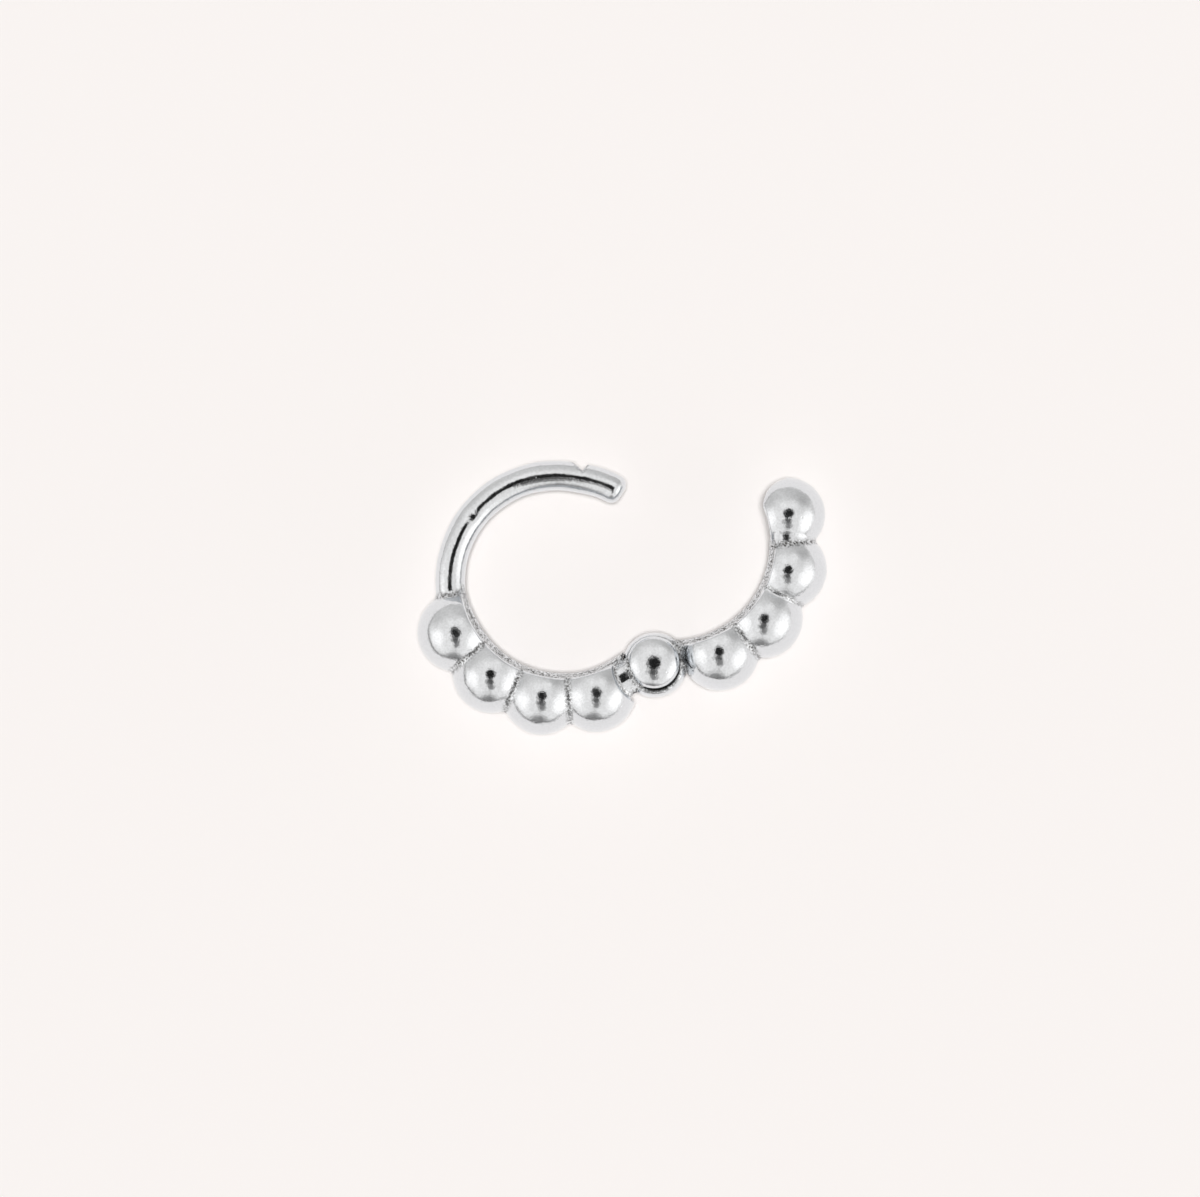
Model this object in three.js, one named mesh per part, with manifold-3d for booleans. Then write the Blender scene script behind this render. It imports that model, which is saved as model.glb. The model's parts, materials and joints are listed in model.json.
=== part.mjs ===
// Beaded hoop earring, a hinged clicker ring in sterling silver, lying open on its side.
// Millimetres, +Z up. The ring is worked out about the centre of its hole, with its middle plane at z = 0,
// and the finished group is then set down on its beads.
import * as THREE from "three";
import { mergeVertices } from "three/addons/utils/BufferGeometryUtils.js";
import Module from "manifold-3d";

const wasm = await Module();
wasm.setup();

// Driving dimensions, in millimetres
const HOLE_RADIUS = 4.0; // an 8 mm hoop
const WIRE_DIAMETER = 1.24; // about 16 gauge
const BEAD_RADIUS = 1.64;
const END_BEAD_RADIUS = 1.54; // the bead that takes the wire's tip is a little smaller
const RAIL_SHOWING = 0.22; // how far the wire shows on the hole side of the trimmed beads
const END_BEAD_TRIM = 0.05; // the end bead is trimmed almost flush with the hole
const RUNNING_GAP = 0.04; // between the knuckle and the clevis, and round the pin
const FITTED_GAP = 0.015; // between the pin and the two caps that hold it

// Where the beads sit: the first one's angle, the step to the next, and their centres' circle
const FIXED_BEADS = { count: 4, first: 207.35, pitch: 26.25, circle: 5.0 };
const ARM_BEADS = { count: 3, first: -11.7, pitch: 27, circle: 4.87 };
const END_BEAD_CIRCLE = 4.93;
// The end bead's free corner on the hole side is rounded off, about a centre set outward and onward from the bead's
const END_CORNER = { outward: 0.27, onward: 0.21, radius: 1.26 };

// The bare wire is bent by hand: its arc has a centre of its own, and its last stretch runs a little straighter
const WIRE_ARC = { x: -0.31, y: -0.15, radius: 4.4, tipAngle: 56.5, straightFrom: 80, tipDrift: 0.14 };
const WIRE_TIP = { dome: 0.3, roundness: 0.96 }; // the dome's height, and its width as a share of the wire's
const WIRE_JOINS_RAIL = { from: 185, to: 210 }; // inside the first bead

// The ratchet notch on the outside of the wire near its tip: a long ramp, then a steep step
const NOTCH = { rampStart: 81.9, floor: 75.9, stepTop: 74.6, depth: 0.33 };
// The ridge in the end bead that drops into the notch, and the room that the wire has in its socket
const CATCH_RIDGE = { from: 80.4, crest: 77.7, to: 76.3, height: 0.2, root: 0.207, halfWidth: 0.31 };
const SOCKET = { clearance: 0.05, openFrom: 100, sweepStep: 3, sweepSteps: 7 };

// The hinge, in place of a bead
const HINGE = { angle: -43.7, distance: 5.29 };
const ARM_CENTRE_TO_HINGE = 5.1; // the closed arm's own circle is centred this far from the hinge
const OPEN_ANGLE = 55; // how far the arm stands open as shown
const KNUCKLE_RADIUS = 1.355;
const CAP_RADIUS = 1.1;
const CAP_HEIGHT = 0.7;
const CAP_CLEARING = 1.75; // the beads are cut back this far round the hinge, down to the bridge
const PIN_RADIUS = 0.27;
const FRONT_CAP_SKIN = 0.25; // silver left over the pin's blind end
const SLOT_BACK = { distance: 0.75, angle: 200, reach: 3 }; // the flat back of the saw slot, by the fourth bead

// The bridge between the fourth bead and the caps, as a section: distance from the ring's centre, and half height
const BRIDGE_SECTION = [
  { radius: 4.1, height: 0.55 },
  { radius: 4.42, height: 1.04 },
  { radius: 4.92, height: 1.04 },
  { radius: 5.33, height: 0.92 },
  { radius: 5.66, height: 0.72 },
];
const BRIDGE_ANGLES = { from: 291, to: 313 };
const RAIL_END_ANGLE = 309.5; // just short of the knuckle

// Facets
const BEAD_SIDES = 24;
const BEAD_ROWS = 14;
const WIRE_SIDES = 14;
const WIRE_STEP = 0.5;
const TRIM_SIDES = 72;
const PIN_SIDES = 20;

const WIRE_RADIUS = WIRE_DIAMETER / 2;
const RAIL_RADIUS = HOLE_RADIUS + WIRE_RADIUS;
const KNUCKLE_HALF = WIRE_RADIUS;
const SLOT_HALF = KNUCKLE_HALF + RUNNING_GAP;
const TALL = 4 * BEAD_RADIUS; // longer than any cut needs
const Z = new THREE.Vector3(0, 0, 1);

// A point on the middle plane, in degrees and millimetres about the centre of a ring
function polar(degrees, radius) {
  const angle = THREE.MathUtils.degToRad(degrees);
  return new THREE.Vector3(radius * Math.cos(angle), radius * Math.sin(angle), 0);
}

// A square reaching from one corner along a direction, and to the left of it
function squareFrom(corner, degrees, reach) {
  const along = polar(degrees, reach);
  const left = polar(degrees + 90, reach);
  return [corner, corner.clone().add(along), corner.clone().add(along).add(left), corner.clone().add(left)];
}

const hingeCentre = polar(HINGE.angle, HINGE.distance);
const armCentre = hingeCentre.clone().multiplyScalar(1 - ARM_CENTRE_TO_HINGE / HINGE.distance);

// three.js geometry to a solid that can be cut and joined, and back
function solid(geometry) {
  const bare = geometry.clone();
  bare.deleteAttribute("normal");
  bare.deleteAttribute("uv");
  const merged = mergeVertices(bare, 1e-4);
  const vertProperties = merged.attributes.position.array;
  const triVerts = new Uint32Array(merged.index.array);
  return new wasm.Manifold(new wasm.Mesh({ numProp: 3, vertProperties, triVerts }));
}

function geometryOf(body) {
  const mesh = body.getMesh();
  const geometry = new THREE.BufferGeometry();
  geometry.setAttribute("position", new THREE.BufferAttribute(new Float32Array(mesh.vertProperties), 3));
  geometry.setIndex(new THREE.BufferAttribute(new Uint32Array(mesh.triVerts), 1));
  geometry.computeVertexNormals();
  return geometry;
}

function joined(bodies) {
  return bodies.reduce((whole, body) => whole.add(body));
}

// A ball with its poles on top and underneath, so that it rests on one point, and its facets turned to the ring
function ball(radius, centre) {
  const geometry = new THREE.SphereGeometry(radius, BEAD_SIDES, BEAD_ROWS);
  geometry.rotateX(Math.PI / 2);
  geometry.rotateZ(Math.atan2(centre.y, centre.x));
  return solid(geometry.translate(centre.x, centre.y, centre.z));
}

// An upright cylinder between two heights
function disc(radius, low, high, centre, sides = TRIM_SIDES) {
  const geometry = new THREE.CylinderGeometry(radius, radius, high - low, sides);
  geometry.rotateX(Math.PI / 2);
  return solid(geometry.translate(centre.x, centre.y, (low + high) / 2));
}

// An upright prism over an outline, reaching equally far above and below the middle plane
function prism(points, halfHeight) {
  const shape = new THREE.Shape(points.map((p) => new THREE.Vector2(p.x, p.y)));
  const geometry = new THREE.ExtrudeGeometry(shape, { depth: 2 * halfHeight, bevelEnabled: false });
  return solid(geometry.translate(0, 0, -halfHeight));
}

// A round wire along a path of angles
class BentPath extends THREE.Curve {
  constructor(pointAt, from, to) {
    super();
    this.pointAt = pointAt;
    this.from = from;
    this.to = to;
  }

  getPoint(t, target = new THREE.Vector3()) {
    return target.copy(this.pointAt(THREE.MathUtils.lerp(this.from, this.to, t)));
  }
}

function wire(pointAt, from, to, radius) {
  const path = new BentPath(pointAt, from, to);
  const section = new THREE.Shape().absarc(0, 0, radius, 0, 2 * Math.PI);
  const steps = Math.ceil(path.getLength() / WIRE_STEP);
  const settings = { steps, curveSegments: WIRE_SIDES, bevelEnabled: false, extrudePath: path };
  return solid(new THREE.ExtrudeGeometry(section, settings));
}

// The centre line of the bare wire and of the rail that it becomes behind the beads
function bareWireAt(angle) {
  const drift = WIRE_ARC.tipDrift * (1 - THREE.MathUtils.smoothstep(angle, WIRE_ARC.tipAngle, WIRE_ARC.straightFrom));
  return polar(angle, WIRE_ARC.radius + drift).add(new THREE.Vector3(WIRE_ARC.x, WIRE_ARC.y, 0));
}

function fixedWireAt(angle) {
  const share = THREE.MathUtils.smoothstep(angle, WIRE_JOINS_RAIL.from, WIRE_JOINS_RAIL.to);
  return bareWireAt(angle).lerp(polar(angle, RAIL_RADIUS), share);
}

function armRailAt(angle) {
  return polar(angle, RAIL_RADIUS).add(armCentre);
}

// A point on the outside of the bare wire, sunk by a depth
function onWireOutside(angle, depth) {
  const outward = polar(angle, WIRE_RADIUS - depth);
  return bareWireAt(angle).add(outward);
}

// The bare wire's tip, domed, and made larger by a clearance where it cuts its own socket
function wireTip(clearance) {
  const centre = bareWireAt(WIRE_ARC.tipAngle);
  const radius = WIRE_TIP.roundness * WIRE_RADIUS + clearance;
  const geometry = new THREE.SphereGeometry(radius, WIRE_SIDES, WIRE_SIDES / 2);
  geometry.scale(1, (WIRE_TIP.dome + clearance) / radius, 1);
  geometry.rotateZ(THREE.MathUtils.degToRad(WIRE_ARC.tipAngle));
  return solid(geometry.translate(centre.x, centre.y, 0));
}

// A row of beads fused side by side, with their hole sides trimmed to one round face
function trimmedBeads(row, centre) {
  const balls = Array.from({ length: row.count }, (_, i) => {
    return ball(BEAD_RADIUS, polar(row.first + i * row.pitch, row.circle).add(centre));
  });
  return joined(balls).subtract(disc(HOLE_RADIUS + RAIL_SHOWING, -TALL, TALL, centre));
}

// What the hinge pin's bore removes, between two heights
function pinBore(gap, low, high, centre) {
  return disc(PIN_RADIUS + gap, low, high, centre, PIN_SIDES);
}

const capTop = SLOT_HALF + CAP_HEIGHT;
const pinTop = capTop - FRONT_CAP_SKIN;

// Half an ellipsoid over the slot, above for side = 1 and below for side = -1
function hingeCap(side) {
  const geometry = new THREE.SphereGeometry(1, BEAD_SIDES, BEAD_ROWS);
  geometry.rotateX(Math.PI / 2);
  geometry.scale(CAP_RADIUS, CAP_RADIUS, CAP_HEIGHT);
  const whole = solid(geometry.translate(hingeCentre.x, hingeCentre.y, side * SLOT_HALF));
  const half = side > 0 ? [SLOT_HALF, TALL] : [-TALL, -SLOT_HALF];
  return whole.intersect(disc(2 * CAP_RADIUS, ...half, hingeCentre));
}

// The bridge's straight bar from the fourth bead to the caps
function hingeBridge() {
  const start = polar(BRIDGE_ANGLES.from, 1);
  const end = polar(BRIDGE_ANGLES.to, 1);
  const middle = start.clone().add(end).normalize();
  const along = new THREE.Vector3().crossVectors(Z, middle);
  const upper = BRIDGE_SECTION.map((row) => new THREE.Vector2(row.radius, row.height));
  const lower = BRIDGE_SECTION.map((row) => new THREE.Vector2(row.radius, -row.height)).reverse();
  const middleRadius = (BRIDGE_SECTION[0].radius + BRIDGE_SECTION.at(-1).radius) / 2;
  const halfSpread = THREE.MathUtils.degToRad(BRIDGE_ANGLES.to - BRIDGE_ANGLES.from) / 2;
  const length = 2 * middleRadius * Math.tan(halfSpread);
  const shape = new THREE.Shape([...upper, ...lower]);
  const geometry = new THREE.ExtrudeGeometry(shape, { depth: length, bevelEnabled: false });
  // The section's x runs outward, its y up, and the extrusion runs back along the ring
  const backward = along.clone().negate();
  const turn = new THREE.Matrix4().makeBasis(middle, Z, backward);
  turn.setPosition(along.clone().multiplyScalar(length / 2));
  return solid(geometry.applyMatrix4(turn));
}

// The saw slot that the knuckle turns in, open on the side away from the fourth bead
function hingeSlot() {
  const round = disc(KNUCKLE_RADIUS + RUNNING_GAP, -SLOT_HALF, SLOT_HALF, hingeCentre);
  const back = polar(SLOT_BACK.angle, SLOT_BACK.distance).add(hingeCentre);
  return round.add(prism(squareFrom(back, SLOT_BACK.angle + 90, SLOT_BACK.reach), SLOT_HALF));
}

function wireHalf() {
  const beads = trimmedBeads(FIXED_BEADS, new THREE.Vector3());
  const cleared = beads.subtract(disc(CAP_CLEARING, -TALL, TALL, hingeCentre));
  const rail = wire(fixedWireAt, WIRE_ARC.tipAngle, RAIL_END_ANGLE, WIRE_RADIUS);
  const notch = prism(
    [
      onWireOutside(NOTCH.rampStart, 0),
      onWireOutside(NOTCH.floor, NOTCH.depth),
      onWireOutside(NOTCH.stepTop, 0),
      onWireOutside(NOTCH.stepTop, -WIRE_RADIUS),
      onWireOutside(NOTCH.rampStart, -WIRE_RADIUS),
    ].reverse(),
    TALL,
  );
  const body = joined([cleared, rail, wireTip(0), hingeBridge()])
    .subtract(hingeSlot())
    .add(hingeCap(1))
    .add(hingeCap(-1));
  return body.subtract(notch).subtract(pinBore(FITTED_GAP, -TALL, pinTop + FITTED_GAP, hingeCentre));
}

// The socket in the end bead: the wire's tip, swept as the arm swings away from it
function tipSocket() {
  const radius = WIRE_RADIUS + SOCKET.clearance;
  const room = wire(bareWireAt, WIRE_ARC.tipAngle, SOCKET.openFrom, radius).add(wireTip(SOCKET.clearance));
  const roomAboutHinge = room.translate([-hingeCentre.x, -hingeCentre.y, 0]);
  const copies = Array.from({ length: SOCKET.sweepSteps }, (_, i) => {
    return roomAboutHinge.rotate([0, 0, i * SOCKET.sweepStep]).translate([hingeCentre.x, hingeCentre.y, 0]);
  });
  return joined(copies);
}

// The last bead, trimmed on the hole side and rounded at its free corner
function trimmedEndBead(angle) {
  const corner = polar(angle, END_BEAD_CIRCLE + END_CORNER.outward)
    .add(polar(angle + 90, END_CORNER.onward))
    .add(armCentre);
  const square = prism(squareFrom(corner, angle + 90, TALL), TALL);
  const offcut = square.subtract(disc(END_CORNER.radius, -2 * TALL, 2 * TALL, corner));
  return ball(END_BEAD_RADIUS, polar(angle, END_BEAD_CIRCLE).add(armCentre))
    .subtract(disc(HOLE_RADIUS + END_BEAD_TRIM, -TALL, TALL, armCentre))
    .subtract(offcut);
}

// The swinging arm as it lies when the hoop is shut
function swingArm() {
  const endAngle = ARM_BEADS.first + ARM_BEADS.count * ARM_BEADS.pitch;
  const trimmed = trimmedBeads(ARM_BEADS, armCentre);
  const knuckleBall = ball(KNUCKLE_RADIUS, hingeCentre);
  const knuckle = knuckleBall.intersect(disc(2 * KNUCKLE_RADIUS, -KNUCKLE_HALF, KNUCKLE_HALF, hingeCentre));
  const rail = wire(armRailAt, HINGE.angle, endAngle, WIRE_RADIUS);
  const ridge = prism(
    [
      onWireOutside(CATCH_RIDGE.from, -CATCH_RIDGE.root),
      onWireOutside(CATCH_RIDGE.crest, CATCH_RIDGE.height),
      onWireOutside(CATCH_RIDGE.to, -CATCH_RIDGE.root),
    ].reverse(),
    CATCH_RIDGE.halfWidth,
  );
  const body = joined([trimmed, trimmedEndBead(endAngle), knuckle, rail]).subtract(tipSocket()).add(ridge);
  return body.subtract(pinBore(RUNNING_GAP, -TALL, TALL, hingeCentre));
}

const silver = { color: 0xd9d9d8, metalness: 1 };
const polishedSilver = new THREE.MeshStandardMaterial({ ...silver, roughness: 0.12 });
const armSilver = new THREE.MeshStandardMaterial({ ...silver, roughness: 0.14 });
const pinSilver = new THREE.MeshStandardMaterial({ ...silver, roughness: 0.25 });

function named(name, geometry, material) {
  const mesh = new THREE.Mesh(geometry, material);
  mesh.name = name;
  return mesh;
}

const hoop = new THREE.Group();
hoop.add(named("wire_half", geometryOf(wireHalf()), polishedSilver));

const pin = pinBore(0, -capTop, pinTop, hingeCentre);
hoop.add(named("hinge_pin", geometryOf(pin), pinSilver));

// The arm turns about the hinge, from shut to open as shown
const armPivot = new THREE.Group();
armPivot.position.copy(hingeCentre);
armPivot.rotation.z = -THREE.MathUtils.degToRad(OPEN_ANGLE);
const arm = named("swing_arm", geometryOf(swingArm()), armSilver);
arm.position.copy(hingeCentre).negate();
armPivot.add(arm);
hoop.add(armPivot);

// Set down on the beads, with the origin under the middle of its box
hoop.updateMatrixWorld(true);
const box = new THREE.Box3().setFromObject(hoop, true);
const middle = box.getCenter(new THREE.Vector3());
hoop.position.set(-middle.x, -middle.y, -box.min.z);

export default hoop;
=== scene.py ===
# %% [markdown]
# Beaded hoop earring, a hinged clicker in sterling silver, lying open on a pale table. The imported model
# gives the frame. A hoop this small could be drawn at a handier size and scaled down, but then nothing
# would line up with its hinge, so every piece below is placed in metres from the hinge and the boxes.

# %% Load the frame
import json
import math

import bpy
import numpy as np
from mathutils import Matrix, Vector


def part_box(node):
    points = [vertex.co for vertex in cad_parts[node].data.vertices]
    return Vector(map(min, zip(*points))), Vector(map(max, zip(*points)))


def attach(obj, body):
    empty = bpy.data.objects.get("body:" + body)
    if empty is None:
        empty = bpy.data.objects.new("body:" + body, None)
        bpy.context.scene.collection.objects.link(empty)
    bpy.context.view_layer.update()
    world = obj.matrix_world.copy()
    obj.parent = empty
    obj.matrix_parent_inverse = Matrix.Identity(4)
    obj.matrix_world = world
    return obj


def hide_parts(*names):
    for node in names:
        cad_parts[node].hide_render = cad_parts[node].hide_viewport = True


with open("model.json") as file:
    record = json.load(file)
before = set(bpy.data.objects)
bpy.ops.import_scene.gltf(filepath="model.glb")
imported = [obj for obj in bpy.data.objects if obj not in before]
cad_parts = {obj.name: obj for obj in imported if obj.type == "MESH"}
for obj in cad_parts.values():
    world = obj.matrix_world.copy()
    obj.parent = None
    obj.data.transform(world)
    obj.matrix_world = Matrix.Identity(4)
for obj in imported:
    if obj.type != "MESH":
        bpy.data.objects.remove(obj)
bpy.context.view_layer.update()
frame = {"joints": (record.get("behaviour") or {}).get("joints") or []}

MM = 0.001

# %% [markdown]
# A jeweller thinks of a hoop about the centre of its hole, so the pieces are worked out there, in
# millimetres, with the ring's middle plane at height 0. The hinge joint tells where that centre lies: the
# hinge pin stands a known distance from it, in a known direction. Two small helpers turn angles into
# points.

# %% Ring coordinates
HINGE_DISTANCE = 5.29
HINGE_ANGLE = -43.7
OPEN_ANGLE = 55.0
ARM_CENTRE_TO_HINGE = 5.1


def polar(degrees, radius):
    angle = math.radians(degrees)
    return np.array((radius * math.cos(angle), radius * math.sin(angle)))


def turned(points, degrees, centre):
    """Points turned anticlockwise about an upright axis."""
    c, s = math.cos(math.radians(degrees)), math.sin(math.radians(degrees))
    x, y = points[:, 0] - centre[0], points[:, 1] - centre[1]
    return np.stack((centre[0] + c * x - s * y, centre[1] + s * x + c * y, points[:, 2]), axis=1)


hinge = polar(HINGE_ANGLE, HINGE_DISTANCE)
arm_centre = hinge * (1 - ARM_CENTRE_TO_HINGE / HINGE_DISTANCE)
hinge_joint = frame["joints"][0]
ring_origin = np.array(hinge_joint["pos_m"]) / MM - np.array((*hinge, 0.0))
print("ring centre in mm:", ring_origin.round(3))

# %% [markdown]
# The driving sizes. The bead size comes straight from the model's box, because the beads are what it rests
# on. The rest are what the maker would write on the drawing, in millimetres and degrees. A row of beads is
# a count, the first bead's angle, the angle from bead to bead, and the circle that their centres lie on.

# %% Driving sizes
BEAD_RADIUS = (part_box("wire_half")[1].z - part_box("wire_half")[0].z) / MM / 2
END_BEAD_RADIUS = 1.54
WIRE_RADIUS = 0.62
HOLE_RADIUS = 4.0
RAIL_RADIUS = HOLE_RADIUS + WIRE_RADIUS
TRIM_RADIUS = HOLE_RADIUS + 0.22
END_TRIM_RADIUS = HOLE_RADIUS + 0.05

FIXED_BEADS = {"count": 4, "first": 207.35, "pitch": 26.25, "circle": 5.0}
ARM_BEADS = {"count": 3, "first": -11.7, "pitch": 27.0, "circle": 4.87}
END_BEAD_CIRCLE = 4.93
END_BEAD_ANGLE = ARM_BEADS["first"] + ARM_BEADS["count"] * ARM_BEADS["pitch"]


def bead_centres(row, centre):
    angles = [row["first"] + i * row["pitch"] for i in range(row["count"])]
    return [polar(angle, row["circle"]) + centre for angle in angles]


fixed_centres = bead_centres(FIXED_BEADS, np.zeros(2))
arm_centres = bead_centres(ARM_BEADS, arm_centre)
end_centre = polar(END_BEAD_ANGLE, END_BEAD_CIRCLE) + arm_centre
print("bead radius:", round(BEAD_RADIUS, 3), "mm, beads on the fixed half:", len(fixed_centres))

# %% [markdown]
# Polished silver is a mirror, so its form has to be smooth to a few thousandths of a millimetre: a mirror
# shows every facet and every pinch in a mesh. Spheres joined by booleans leave slivers along the joins,
# which would sparkle. So each casting is a distance field instead: a function that says how far a point
# lies from the surface, and is negative inside the metal.

# %% Distance fields
def ball(p, centre, radius):
    return np.sqrt((p[:, 0] - centre[0]) ** 2 + (p[:, 1] - centre[1]) ** 2 + p[:, 2] ** 2) - radius


def post(p, centre, radius):
    """An upright cylinder without end."""
    return np.hypot(p[:, 0] - centre[0], p[:, 1] - centre[1]) - radius


def slab(p, half_height):
    return np.abs(p[:, 2]) - half_height


def side_of(p, point, degrees):
    """How far a point lies beyond an upright plane that faces that way."""
    facing = polar(degrees, 1.0)
    return (p[:, 0] - point[0]) * facing[0] + (p[:, 1] - point[1]) * facing[1]


to_bead = ball(np.array([[*hinge, 0.0]]), fixed_centres[0], BEAD_RADIUS)[0]
print("from the hinge to the first bead's surface:", round(to_bead, 2), "mm")

# %% [markdown]
# Casting and polishing leave no knife edge: metal runs into metal with a small radius, and the wheel takes
# the edge off every corner. A plain minimum of two fields would leave a crease, so these three functions
# join, keep or cut with a quarter circle between the two surfaces.

# %% Joined and cut with a radius
def joined(a, b, radius):
    corner = np.hypot(np.maximum(radius - a, 0), np.maximum(radius - b, 0))
    return np.maximum(radius, np.minimum(a, b)) - corner


def common(a, b, radius):
    corner = np.hypot(np.maximum(radius + a, 0), np.maximum(radius + b, 0))
    return np.minimum(-radius, np.maximum(a, b)) + corner


def cut(a, b, radius):
    return common(a, -b, radius)


on_both = np.zeros(1)
print("a 0.2 mm radius fills a square corner by", round(-joined(on_both, on_both, 0.2)[0], 3), "mm")

# %% [markdown]
# The wire is drawn round and bent by hand. Its bare arc has a centre of its own, and behind the first bead
# it runs on to the rail that carries the beads. It could be a curve with a bevel, but then it couldn't melt
# into the beads. So one table of angle and distance holds the bent line, worked out from the same arc sizes
# as in the model.

# %% The wire's bent line
WIRE_ARC = {"x": -0.31, "y": -0.15, "radius": 4.4, "tip": 56.5, "straight_from": 80.0, "drift": 0.14}
WIRE_JOINS_RAIL = {"from": 185.0, "to": 210.0}
RAIL_END = 309.5
BARE_WIRE_END = 110.0
BEYOND_TIP = 12.0
LINE_POINTS = 400


def smoothstep(value, low, high):
    t = np.clip((value - low) / (high - low), 0, 1)
    return t * t * (3 - 2 * t)


def bare_wire_at(angle):
    drift = WIRE_ARC["drift"] * (1 - smoothstep(angle, WIRE_ARC["tip"], WIRE_ARC["straight_from"]))
    return polar(angle, WIRE_ARC["radius"] + drift) + (WIRE_ARC["x"], WIRE_ARC["y"])


def fixed_wire_at(angle):
    share = smoothstep(angle, WIRE_JOINS_RAIL["from"], WIRE_JOINS_RAIL["to"])
    return bare_wire_at(angle) * (1 - share) + polar(angle, RAIL_RADIUS) * share


def outside_of_wire(angle, depth):
    return bare_wire_at(angle) + polar(angle, WIRE_RADIUS - depth)


def line_table(point_at, start, end):
    """Angle about the ring's centre, distance from it, and the slope's share, along a bent line."""
    points = np.array([point_at(angle) for angle in np.linspace(start, end, LINE_POINTS)])
    angles = np.degrees(np.unwrap(np.arctan2(points[:, 1], points[:, 0])))
    radii = np.hypot(points[:, 0], points[:, 1])
    slope = np.gradient(radii, np.radians(angles)) / radii
    return angles, radii, 1 / np.sqrt(1 + slope**2)


fixed_line = line_table(fixed_wire_at, WIRE_ARC["tip"] - BEYOND_TIP, RAIL_END)
bare_line = line_table(bare_wire_at, WIRE_ARC["tip"] - BEYOND_TIP, BARE_WIRE_END)
print("bare wire's arc radius:", WIRE_ARC["radius"], "mm, wire:", 2 * WIRE_RADIUS, "mm across")

# %% [markdown]
# The wire itself is everything within a wire's radius of that line. Its free end goes through the ear, so a
# maker files it off square and rounds it over to a low dome. The same two functions serve again for the
# socket that takes the tip, with a little clearance added.

# %% The round wire and its tip
# An angle that the line doesn't reach, where the count of degrees round the ring can start anew
FIXED_LINE_SEAM = 5.0
BARE_LINE_SEAM = -60.0
TIP_DOME = 0.31
TIP_ROUNDING = 0.42
# The file's flat side would cut the far half of the ring too, so it counts only this near the tip
TIP_REACH = 3.0


def bent_wire(p, line, radius, seam):
    """A round wire along a line table, with ball ends."""
    angles, radii, slopes = line
    angle = (np.degrees(np.arctan2(p[:, 1], p[:, 0])) - seam) % 360 + seam
    held = np.clip(angle, angles[0], angles[-1])
    ring = np.interp(held, angles, radii)
    along = np.hypot(p[:, 0], p[:, 1])
    beyond = np.radians(angle - held)
    inward = (along * np.cos(beyond) - ring) * np.interp(held, angles, slopes)
    return np.sqrt(inward**2 + (along * np.sin(beyond)) ** 2 + p[:, 2] ** 2) - radius


def domed_tip(p, wire, clearance):
    """The wire filed off square and its end rounded over."""
    tip = bare_wire_at(WIRE_ARC["tip"])
    beyond = side_of(p, tip, WIRE_ARC["tip"] - 90) - TIP_DOME - clearance
    near = post(p, tip, TIP_REACH) < 0
    return np.where(near, common(wire, beyond, TIP_ROUNDING), wire)


print("tip at", bare_wire_at(WIRE_ARC["tip"]).round(2), "mm from the ring's centre")

# %% [markdown]
# A cast bead is never quite round. Every surface gets a few waves, some thousandths of a millimetre high
# and about a millimetre long, so that reflections bend a little, and differently on each bead, as in a hand
# polished casting. A noise texture could do this as a bump, but then the waves would be missing from the
# mesh.

# %% Hand polished waves
WAVES = [
    {"length": 1.90, "height": 0.0050, "facing": (0.8, 0.5, 0.33)},
    {"length": 1.17, "height": 0.0026, "facing": (-0.5, 0.7, 0.5)},
    {"length": 0.83, "height": 0.0015, "facing": (0.64, -0.6, 0.48)},
    {"length": 0.52, "height": 0.0007, "facing": (0.2, 0.9, -0.4)},
]


def waves(p):
    total = np.zeros(len(p))
    for wave in WAVES:
        facing = np.array(wave["facing"]) * (2 * math.pi / wave["length"])
        total += wave["height"] * np.sin(p @ facing)
    return total


print("waves up to", round(sum(wave["height"] for wave in WAVES), 4), "mm high")

# %% [markdown]
# The fixed half ends in the hinge. A faceted bridge runs from the fourth bead into it, a saw slot takes the
# arm's knuckle, and a low round cap closes it above and below. What is cast in one piece meets in a soft
# fillet, and what was sawn, filed or soldered on afterwards has crisper edges. These are the sizes that
# both halves share.

# %% Fillets, edges and hinge sizes
BEAD_FILLET = 0.2
CRISP_FILLET = 0.06
TRIMMED_EDGE = 0.08
EDGE = 0.05
NOTCH_EDGE = 0.04
SHARP_EDGE = 0.03
KNUCKLE = {"radius": 1.355, "half": 0.62, "edge": 0.14}
RUNNING_GAP = 0.04
FITTED_GAP = 0.015
PIN_RADIUS = 0.27
CAP = {"radius": 1.08, "wall": 0.2, "height": 0.7}
FRONT_SKIN = 0.25
SLOT_HALF = KNUCKLE["half"] + RUNNING_GAP
pin_top = SLOT_HALF + CAP["height"] - FRONT_SKIN
print("slot:", 2 * SLOT_HALF, "mm wide, hinge:", round(2 * (SLOT_HALF + CAP["height"]), 2), "mm thick")

# %% [markdown]
# The bridge is a short block with flat facets, filed from the same casting. Its section is drawn as points
# of distance from the ring's centre and half height, and each pair of points gives one facet. A bevelled
# box comes near, but these facets slope by different amounts.

# %% The faceted bridge
BRIDGE_ANGLES = {"from": 291.0, "to": 313.0}
BRIDGE_SECTION = [(4.1, 0.55), (4.48, 0.98), (4.68, 1.04), (5.1, 1.04), (5.42, 0.9), (5.7, 0.68)]


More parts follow.
